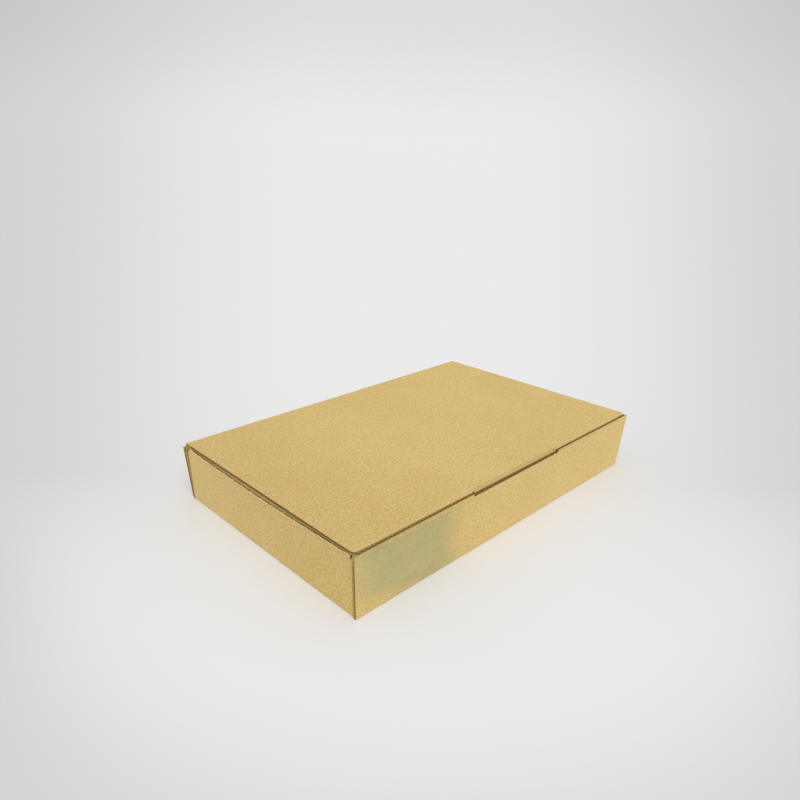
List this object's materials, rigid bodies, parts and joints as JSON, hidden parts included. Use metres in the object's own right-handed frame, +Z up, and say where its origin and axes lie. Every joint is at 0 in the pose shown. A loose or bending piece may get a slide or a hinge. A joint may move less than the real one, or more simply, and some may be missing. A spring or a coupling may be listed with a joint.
{
  "type": "cardboard mailer box",
  "caption": "Low corrugated mailer box with rolled end walls, a hinged lid, a tuck flap and a thumb tongue.",
  "frame": {"origin": "centre of the box's footprint, on the surface that it stands on", "axes": "+X along the length, in line with the lid's hinge; +Y from the front wall to the hinge; +Z up"},
  "size_m": [0.312, 0.204, 0.048],
  "materials": {
    "kraft_tray": "matt brown kraft",
    "kraft_lid": "matt brown kraft"
  },
  "bodies": {
    "tray": {"tray": "kraft_tray"},
    "lid": {"lid": "kraft_lid"}
  },
  "joints": [
    {"name": "lid_hinge", "type": "hinge", "parent": "tray", "child": "lid", "pos_m": [0, 0.1007, 0.0467], "axis": [-1, 0, 0], "range_deg": [0, 180]}
  ]
}
